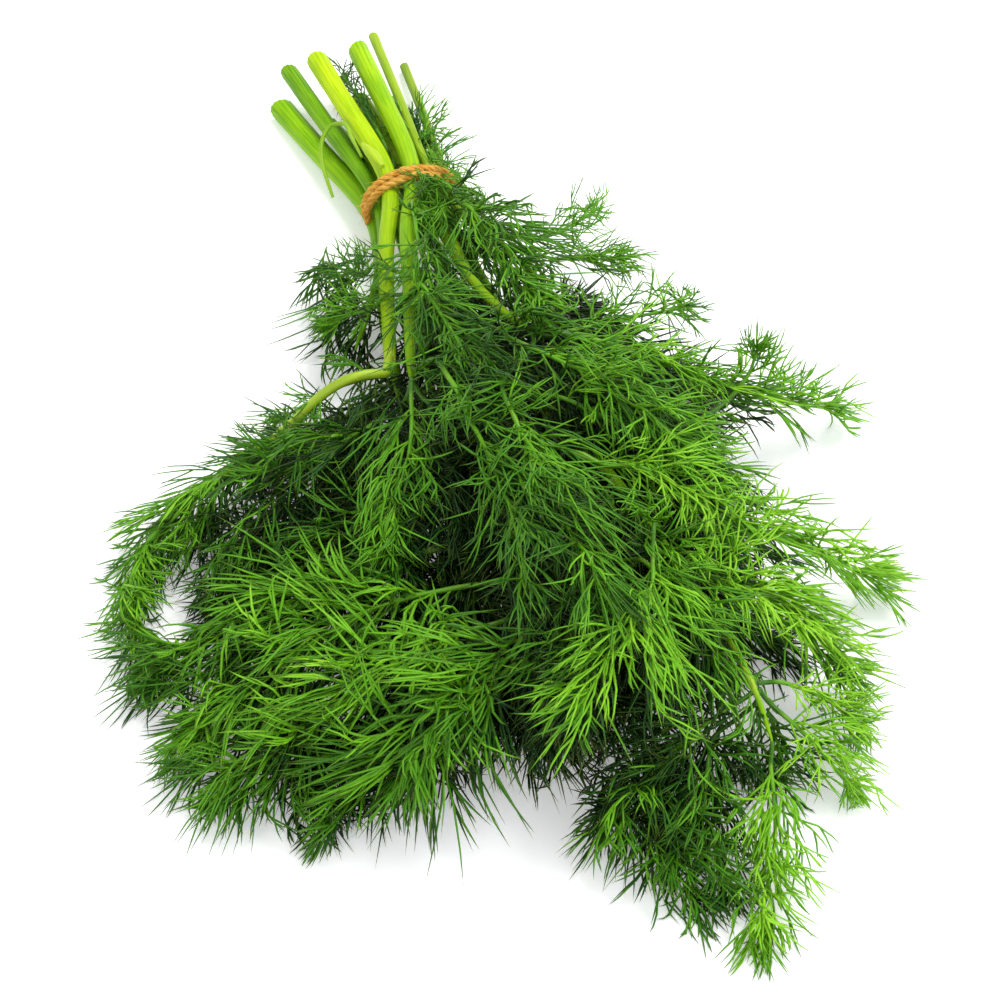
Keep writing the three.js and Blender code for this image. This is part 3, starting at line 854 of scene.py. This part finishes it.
def leafMaterial(name, colours, petiole, joint, stalk):
    sheet = Sheet(name)
    tone, age = sheet.split(sheet.add("ShaderNodeUVMap", {"uv_map": "OFBake"}))
    leaf = sheet.ramp(tone, list(zip(leafStops, colours)))
    leaf = sheet.mix((1.0 - sheet.step(age, 0.05, 0.5)) * 0.25, leaf, colours[-1])
    leaf = sheet.mix(sheet.step(age, 0.78, 1.0) * 0.5, leaf, oliveTip)
    stem = sheet.ramp(age, [(0.0, petiole), (blade - 0.05, petiole), (blade, joint),
                            (blade + 0.06, stalk), (0.7, stalk), (1.0, colours[2])])
    isStalk = sheet.step(tone, 0.855, 0.865)
    isPale = sheet.step(tone, 0.925, 0.93) * (1.0 - sheet.step(age, 0.3, 0.5))
    stem = sheet.mix(isPale * 0.85, stem, paleStalk)
    return sheet.finish(Base_Color=sheet.mix(isStalk, leaf, stem), Roughness=0.46 - 0.08 * isStalk,
                        Specular_IOR_Level=0.3)


leafFinishes = {slot: leafMaterial(*colours) for slot, colours in leafColours.items()}


# Stems: ribbed stalks with a cut end, swelling a little at a joint.

stemLook = {
    "seed": 40,
    "width": {  # as a share of the fixed frame's
        "stem_left_low": 1.3, "stem_left_mid": 1.2, "stem_top_left": 1.12, "stem_top_right": 1.15,
        "stem_thin_long": 1.35, "stem_thin_right": 1.4,
    },
    "otherWidth": 1.05,
    "longer": {"stem_thin_right": 4.5 * mm, "stem_left_mid": 2.2 * mm},  # past the fixed frame's end
    "otherLonger": 1.2 * mm,
    "sides": 39,
    "ribs": 13,
    "ribDepth": 0.035,
    "step": 2.5 * mm,
    "rim": 0.5 * mm,  # width of the skin at the cut end
    "pithDepth": 0.08,  # as a share of the stem's radius
    "slant": 0.35,  # of the cut
    "swelling": (0.45, 3.2 * mm),  # at a joint: how much and how long
    "hiddenEnd": {"stem_top_left": 0.85, "stem_top_right": 0.72},  # how thin the end in the leaves gets
    "otherHiddenEnd": 0.55,
    "raised": {"stem_under_right": (0, 0, -5, -8, -7, -1, 4, 4)},  # mm, over the fixed frame's
}

stemColours = {  # dark stripe, light stripe, cut end
    "stem_top_left": ((0.29, 0.5, 0.003), (0.52, 0.7, 0.008), (0.58, 0.72, 0.08)),
    "stem_top_right": ((0.18, 0.41, 0.003), (0.37, 0.6, 0.008), (0.5, 0.68, 0.08)),
    "stem_thin_long": ((0.2, 0.36, 0.012), (0.38, 0.52, 0.03), (0.45, 0.56, 0.1)),
    "stem_thin_right": ((0.15, 0.27, 0.015), (0.3, 0.43, 0.035), (0.4, 0.5, 0.1)),
    "stem_left_mid": ((0.085, 0.25, 0.004), (0.21, 0.43, 0.01), (0.36, 0.52, 0.06)),
    "stem_left_low": ((0.13, 0.34, 0.002), (0.28, 0.53, 0.006), (0.4, 0.62, 0.05)),
    "stem_core_right": ((0.2, 0.43, 0.006), (0.44, 0.64, 0.02), (0.42, 0.58, 0.08)),
    "stem_under_right": ((0.15, 0.38, 0.004), (0.32, 0.58, 0.01), (0.42, 0.58, 0.08)),
}
plainStem = ((0.1, 0.29, 0.003), (0.23, 0.46, 0.008), (0.4, 0.57, 0.07))
# painted shade for the part of a stem that lies among the leaves
shadedStem = (0.09, 0.27, 0.006)
jointColour = (0.46, 0.6, 0.06)


def stemMaterial(name, dark, light, joint=None):
    sheet = Sheet(name)
    place = sheet.place()
    grain = sheet.add("ShaderNodeAttribute", {"attribute_name": "grain"}, 1)
    long = sheet.add("ShaderNodeMapping", Vector=grain, Scale=(1.0, 1.0, 0.12))
    streaks = sheet.noise(long, 5.0, 3.0, 0.6)
    lines = sheet.noise(long, 16.0, 2.0, 0.5)
    patches = sheet.noise(place, 60.0, 2.0)
    share = sheet.step(streaks * 0.55 + lines * 0.25 + patches * 0.2, 0.36, 0.6)
    colour = sheet.mix(share, dark, light)
    _, far = sheet.split(place)
    # painted shade: the part of the stem among the leaves, far from its cut end, is mixed towards a darker
    # green
    paintedStemShade = 1.0 - sheet.step(far, 55 * mm, 135 * mm)
    colour = sheet.mix(paintedStemShade * 0.45, colour, shadedStem)
    if joint is not None:  # paler round the joint
        apart = sheet.add("ShaderNodeVectorMath", {"operation": "DISTANCE"}, 1, in0=place, in1=tuple(joint))
        near = 1.0 - sheet.step(apart, 3 * mm, 9 * mm)
        colour = sheet.mix(near * 0.75, colour, jointColour)
    specks = sheet.step(sheet.noise(place, 700.0, 2.0), 0.64, 0.74)
    colour = sheet.mix(specks * 0.3, colour, dark)
    bump = sheet.bump(lines + streaks, 0.3)
    rough = 0.38 + 0.14 * patches
    return sheet.finish(Base_Color=colour, Roughness=rough, Normal=bump, Specular_IOR_Level=0.1)


def cutMaterial(name, colour):
    sheet = Sheet(name)
    grain = sheet.noise(sheet.place(), 1500.0, 3.0, 0.65)
    tint = sheet.mix(grain, tuple(0.72 * c for c in colour), colour)
    return sheet.finish(Base_Color=tint, Roughness=0.55, Normal=sheet.bump(grain, 0.5))


def dress(piece, *materials):
    piece.data.materials.clear()
    for material in materials:
        piece.data.materials.append(material)


def selectOnly(pieces):
    bpy.ops.object.select_all(action="DESELECT")
    for piece in pieces:
        piece.select_set(True)
    bpy.context.view_layer.objects.active = pieces[0]


def newCurve(name, dimensions, places, radii):
    curve = bpy.data.curves.new(name, "CURVE")
    curve.dimensions = dimensions
    spline = curve.splines.new("POLY")
    spline.points.add(len(places) - 1)
    spline.points.foreach_set("co", np.column_stack([places, np.ones(len(places))]).ravel())
    spline.points.foreach_set("radius", radii)
    return linked(name, curve), spline


# A tube along a line, drawn as a curve with a ribbed profile and made a mesh.
def tubePiece(name, line, radii, sides, ribs, ribDepth):
    angles = 2 * math.pi * np.arange(sides) / sides
    far = 1 + ribDepth * np.cos(ribs * angles)
    outline = np.stack([far * np.cos(angles), far * np.sin(angles), 0 * far], axis=1)
    profile, spline = newCurve(name + "_profile", "2D", outline, np.ones(sides))
    spline.use_cyclic_u = True
    path, _ = newCurve(name, "3D", line, radii)
    path.data.bevel_mode = "OBJECT"
    path.data.bevel_object = profile
    selectOnly([path])
    bpy.ops.object.convert(target="MESH")
    bpy.data.objects.remove(profile)
    piece = bpy.context.object
    grain = piece.data.attributes.new("grain", "FLOAT_VECTOR", "POINT")
    rings = len(line)
    values = np.stack([np.tile(np.cos(angles), rings), np.tile(np.sin(angles), rings),
                       np.repeat(travel(line) / (12 * mm), sides)], axis=1)
    grain.data.foreach_set("vector", values.ravel())
    bpy.ops.object.mode_set(mode="EDIT")
    bpy.ops.mesh.select_all(action="SELECT")
    bpy.ops.mesh.remove_doubles(threshold=1e-6)
    bpy.ops.mesh.fill_holes(sides=0)
    bpy.ops.mesh.normals_make_consistent(inside=False)
    bpy.ops.object.mode_set(mode="OBJECT")
    bpy.ops.object.shade_smooth_by_angle(angle=math.radians(50))
    return piece


def selectCap(piece, place):  # the many-sided face nearest a place
    for part in (piece.data.polygons, piece.data.edges, piece.data.vertices):
        part.foreach_set("select", np.zeros(len(part), dtype=bool))
    caps = [p for p in piece.data.polygons if len(p.vertices) > 6]
    min(caps, key=lambda p: (p.center - Vector(place)).length).select = True


def stemCentres(node):
    centres, sizes, _ = readSkeleton(node, ringGap["stem"])
    lift = stemLook["raised"].get(node, (0, 0))
    centres[:, 2] += np.interp(np.linspace(0, 1, len(centres)), np.linspace(0, 1, len(lift)), lift) * mm
    return centres, sizes


def makeStem(node, seed):
    look = stemLook
    rand = np.random.default_rng(seed)
    centres, sizes = stemCentres(node)
    count = int(travel(centres)[-1] / look["step"]) + 1
    for _ in range(2):  # kinks out
        centres[1:-1] = 0.25 * centres[:-2] + 0.5 * centres[1:-1] + 0.25 * centres[2:]
    centres[0] += unit(centres[0] - centres[1]) * look["longer"].get(node, look["otherLonger"])
    line = smoothLine(centres, count)
    share = np.linspace(0, 1, count)
    width = look["width"].get(node, look["otherWidth"])
    radii = np.interp(share, np.linspace(0, 1, len(sizes)), sizes) * width
    radii = radii * (1 + 0.03 * np.interp(share, np.linspace(0, 1, 9), rand.normal(0, 1, 9)))
    thin = look["hiddenEnd"].get(node, look["otherHiddenEnd"])
    radii = radii * (1 - (1 - thin) * ease(share, 0.5, 1.0))
    radii[-3:] *= [0.9, 0.7, 0.35]
    joint = stemJoints.get(node)
    if joint is not None:
        much, long = look["swelling"]
        radii = radii * (1 + much * np.exp(-((norm(line - joint) / long) ** 2)))
    piece = tubePiece("dill_" + node, line, radii, look["sides"], look["ribs"], look["ribDepth"])
    dark, light, cut = stemColours.get(node, plainStem)
    dress(piece, stemMaterial("skin_of_" + node, dark, light, joint), cutMaterial("cut_of_" + node, cut))
    end = Vector(line[0])
    away = Vector(unit(line[0] - line[1]))
    tilt = Vector(rand.normal(0, 1, 3)).normalized()
    for vertex in piece.data.vertices:  # the knife's slanting cut
        if (vertex.co - end).length < 1.2 * radii[0]:
            vertex.co += away * look["slant"] * (vertex.co - end).dot(tilt)
    selectCap(piece, line[0])
    bpy.ops.object.mode_set(mode="EDIT")
    bpy.ops.mesh.inset(thickness=min(look["rim"], 0.3 * radii[0]), depth=0)
    piece.active_material_index = 1
    bpy.ops.object.material_slot_assign()
    bpy.ops.mesh.inset(thickness=0.15 * radii[0], depth=-look["pithDepth"] * radii[0])
    bpy.ops.object.mode_set(mode="OBJECT")
    for face in piece.data.polygons:
        if face.material_index == 1:
            face.use_smooth = False
    return piece


stalkTube = {"sides": 21, "ribs": 7, "ribDepth": 0.06}

# The stalk that loops out of the bunch, and the pale sheath of a leaf above the tie.
stalkLook = {  # radii along it in mm, dark stripe, light stripe
    "looped_stalk": ((0.45, 0.62, 0.66, 0.62, 0.55, 0.38), (0.15, 0.33, 0.01), (0.34, 0.54, 0.045)),
    "leaf_sheath": ((0.5, 1.25, 1.65, 1.75, 1.5, 0.7), (0.33, 0.5, 0.012), (0.58, 0.72, 0.05)),
}


def makeStalk(node):
    sizes, dark, light = stalkLook[node]
    centres, _, _ = readSkeleton(node, ringGap["stalk"])
    count = 4 * len(centres)
    radii = np.interp(np.linspace(0, 5, count), range(6), sizes) * mm
    piece = tubePiece("dill_" + node, smoothLine(centres, count), radii, **stalkTube)
    dress(piece, stemMaterial("skin_of_" + node, dark, light))
    return piece


# The tie: a rough twine of three strands, wound twice round the stems.

tieLook = {
    "seed": 31,
    "plies": 3,
    "hug": 0.93,  # drawn tighter than the fixed frame's
    "plyRadius": 0.6 * mm,
    "twistRadius": 0.6 * mm,
    "pitch": 7.5 * mm,
    "step": 0.55 * mm,
    "sides": 18,
    "ribs": 9,
    "ribDepth": 0.07,
    "fibres": 520,
    "fibreLength": (1.2 * mm, 4.2 * mm),
    "fibreRadius": 0.055 * mm,
    "straw": (0.8, 0.52, 0.11),
    "paleStraw": (0.8, 0.62, 0.32),
    "orange": (0.58, 0.25, 0.022),
    "brown": (0.24, 0.08, 0.008),
}


def twineMaterial():
    sheet = Sheet("twine")
    place = sheet.place()
    grain = sheet.add("ShaderNodeAttribute", {"attribute_name": "grain"}, 1)
    long = sheet.add("ShaderNodeMapping", Vector=grain, Scale=(1.0, 1.0, 1.5))
    fibre = sheet.noise(long, 3.2, 4.0, 0.65)
    patches = sheet.noise(place, 260.0, 3.0, 0.6)
    share = fibre * 0.6 + patches * 0.4
    look = tieLook
    colour = sheet.ramp(share, [(0.3, look["brown"]), (0.44, look["orange"]), (0.6, look["straw"])])
    bump = sheet.bump(fibre, 0.9)
    return sheet.finish(Base_Color=colour, Roughness=0.82, Normal=bump, Specular_IOR_Level=0.2)


def fibreMaterial():
    sheet = Sheet("twine_fibre")
    tone, _ = sheet.split(sheet.add("ShaderNodeUVMap", {"uv_map": "OFBake"}))
    look = tieLook
    colour = sheet.ramp(tone, [(0.0, look["orange"]), (0.6, look["straw"]), (1.0, look["paleStraw"])])
    return sheet.finish(Base_Color=colour, Roughness=0.8, Specular_IOR_Level=0.2)


def makeTie():
    look = tieLook
    rand = np.random.default_rng(look["seed"])
    centres, _, _ = readSkeleton("tie", ringGap["tie"])
    reach = travel(centres)[-1]
    count = int(reach / look["step"])
    line = smoothLine(centres, count)
    middle = line.mean(0)
    line = middle + (line - middle) * [look["hug"], 1, look["hug"]]
    along = unit(np.gradient(line, axis=0))
    outward = unit((line - middle) - ((line - middle) * along).sum(1, keepdims=True) * along)
    across = np.cross(along, outward)
    past = np.linspace(0, reach, count)
    taper = 0.55 + 0.45 * ease(past, 0, 5 * mm) * ease(reach - past, 0, 5 * mm)
    knots = np.arange(0, count + 9, 9)
    steps = np.array([0, 0.3, 0.6, 0.85, 1])
    many = look["fibres"] // look["plies"]
    plies = []
    growth = Growth()
    for ply in range(look["plies"]):
        angle = 2 * math.pi * (past / look["pitch"] + ply / look["plies"])
        wobble = 1 + 0.1 * np.interp(np.arange(count), knots, rand.normal(0, 1, len(knots)))
        offset = np.cos(angle)[:, None] * outward + np.sin(angle)[:, None] * across
        route = line + offset * (look["twistRadius"] * taper)[:, None]
        radii = look["plyRadius"] * taper * wobble
        plies.append(tubePiece("twine_ply", route, radii, look["sides"], look["ribs"], look["ribDepth"]))
        some = rand.integers(2, count - 3, many)
        way = unit(np.gradient(route, axis=0))[some] * rand.choice([-1.0, 1.0], (many, 1))
        turn = rand.uniform(0, 2 * math.pi, many)[:, None]
        out = np.cos(turn) * outward[some] + np.sin(turn) * across[some]
        ray = unit(way + rand.uniform(0.05, 0.55, (many, 1)) * out)
        curl = rand.normal(0, 0.22, (many, 3))
        length = rand.uniform(*look["fibreLength"], many)
        fibres = pathPoints(route[some] + out * look["plyRadius"] * 0.85, ray, curl, length, steps)
        growth.strands(fibres, look["fibreRadius"] * np.array([1, 1, 0.9, 0.6, 0]),
                       rand.uniform(0.1, 0.8, many), steps, leafy=False)
    selectOnly(plies)
    bpy.ops.object.join()
    tie = bpy.context.object
    tie.name = "twine_tie"
    dress(tie, twineMaterial())
    fibres = growth.build("twine_fibres", None)
    dress(fibres, fibreMaterial())
    return tie, fibres


def place(piece, node, slot):
    if node:
        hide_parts(node)
    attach(piece, "root")


stemNodes = [n for n in cadNodes if n.startswith("stem")]
stemLines, stemWidths = {}, []
for node in stemNodes:
    centres, sizes = stemCentres(node)
    stemLines[node] = smoothLine(centres, len(centres) * 4)
    stemWidths.append(sizes.mean() * stemLook["width"].get(node, stemLook["otherWidth"]))
stemSpace = StemSpace(list(stemLines.values()), stemWidths)
stemJoints = {node: stemLines[node][k] for node, k in (("stem_top_left", -1), ("stem_under_right", -8))}

for number, node in enumerate(stemNodes):
    place(makeStem(node, stemLook["seed"] + number), node, slotOfNode[node])
for node in stalkLook:
    place(makeStalk(node), node, slotOfNode[node])
print("stems made:", len(stemNodes))

tie, tieFibres = makeTie()
place(tie, "tie", "tie_cord")
place(tieFibres, None, "tie_cord")
print("tie made")

growths = {}
for number, node in enumerate(n for n in cadNodes if n.startswith("frond")):
    growths[node] = growFrond(node, frondSeed + number)
for number in range(coreLook["groups"]):
    growths["core_leaves_%d" % (number + 1)] = growCore(number)
growths["leaves_over_tie"] = growOverTie()
# painted shade on the leaves, from how deep each lies under the top of the foliage
canopy = Canopy(np.vstack([growth.middles() for growth in growths.values()]))
total = 0
for node, growth in growths.items():
    slot = slotOfNode.get(node, "frond_shaded")
    piece = growth.build("dill_" + node, canopy)
    dress(piece, leafFinishes[slot])
    place(piece, node if node in slotOfNode else None, slot)
    total += growth.triangleCount
print("fronds grown:", len(growths), "pieces,", total, "triangles")


view = {
    "azimuth": -16.0,
    "elevation": 50.0,
    "distance": 0.65,
    "target": (-1.1 * mm, -32.2 * mm, 20.1 * mm),
    "lens": 90.0,
}

lights = {  # place, size, power, colour
    "key": ((0.4, 0.35, 1.05), 0.6, 10.0, (1.0, 0.99, 0.96)),
    "fill": ((0.9, -0.6, 0.8), 0.9, 5.0, (0.96, 0.98, 1.0)),
    "front": ((-0.7, -0.9, 0.7), 0.9, 4.0, (0.98, 0.99, 1.0)),
}
lightTarget = Vector((0, -0.03, 0))


def aim(thing, place, heading):  # a camera or a light that looks back along a heading
    thing.location = place
    thing.rotation_euler = heading.to_track_quat("Z", "Y").to_euler()


def addCamera():
    azimuth, elevation = math.radians(view["azimuth"]), math.radians(view["elevation"])
    level = math.cos(elevation)
    back = Vector((math.sin(azimuth) * level, -math.cos(azimuth) * level, math.sin(elevation)))
    data = bpy.data.cameras.new("camera")
    data.lens = view["lens"]
    data.sensor_width = 36.0
    data.clip_start = 0.01
    camera = linked("camera", data)
    aim(camera, Vector(view["target"]) + back * view["distance"], back)
    bpy.context.scene.camera = camera


def addLight(name, place, size, power, colour):
    data = bpy.data.lights.new(name, "AREA")
    data.shape = "DISK"
    data.size = size
    data.energy = power
    data.color = colour
    aim(linked(name, data), place, Vector(place) - lightTarget)


def addSurface():
    bpy.ops.mesh.primitive_plane_add(size=8, location=(0, 0, 0))
    floor = bpy.context.object
    floor.name = "surface"
    sheet = Sheet("surface_white")
    patchy = sheet.noise(sheet.place(), 3.0)
    colour = sheet.mix(patchy, (0.9, 0.905, 0.915), (0.92, 0.922, 0.928))
    dress(floor, sheet.finish(Base_Color=colour, Roughness=0.75, Emission_Color=(1.0, 1.0, 1.0, 1.0),
                              Emission_Strength=0.28))


addCamera()
addSurface()
for name, settings in lights.items():
    addLight(name, *settings)
world = bpy.data.worlds.new("studio")
world.use_nodes = True
background = world.node_tree.nodes["Background"]
background.inputs["Color"].default_value = (0.98, 0.99, 1.0, 1)
background.inputs["Strength"].default_value = 0.75
bpy.context.scene.world = world
bpy.context.scene.view_settings.view_transform = "Standard"
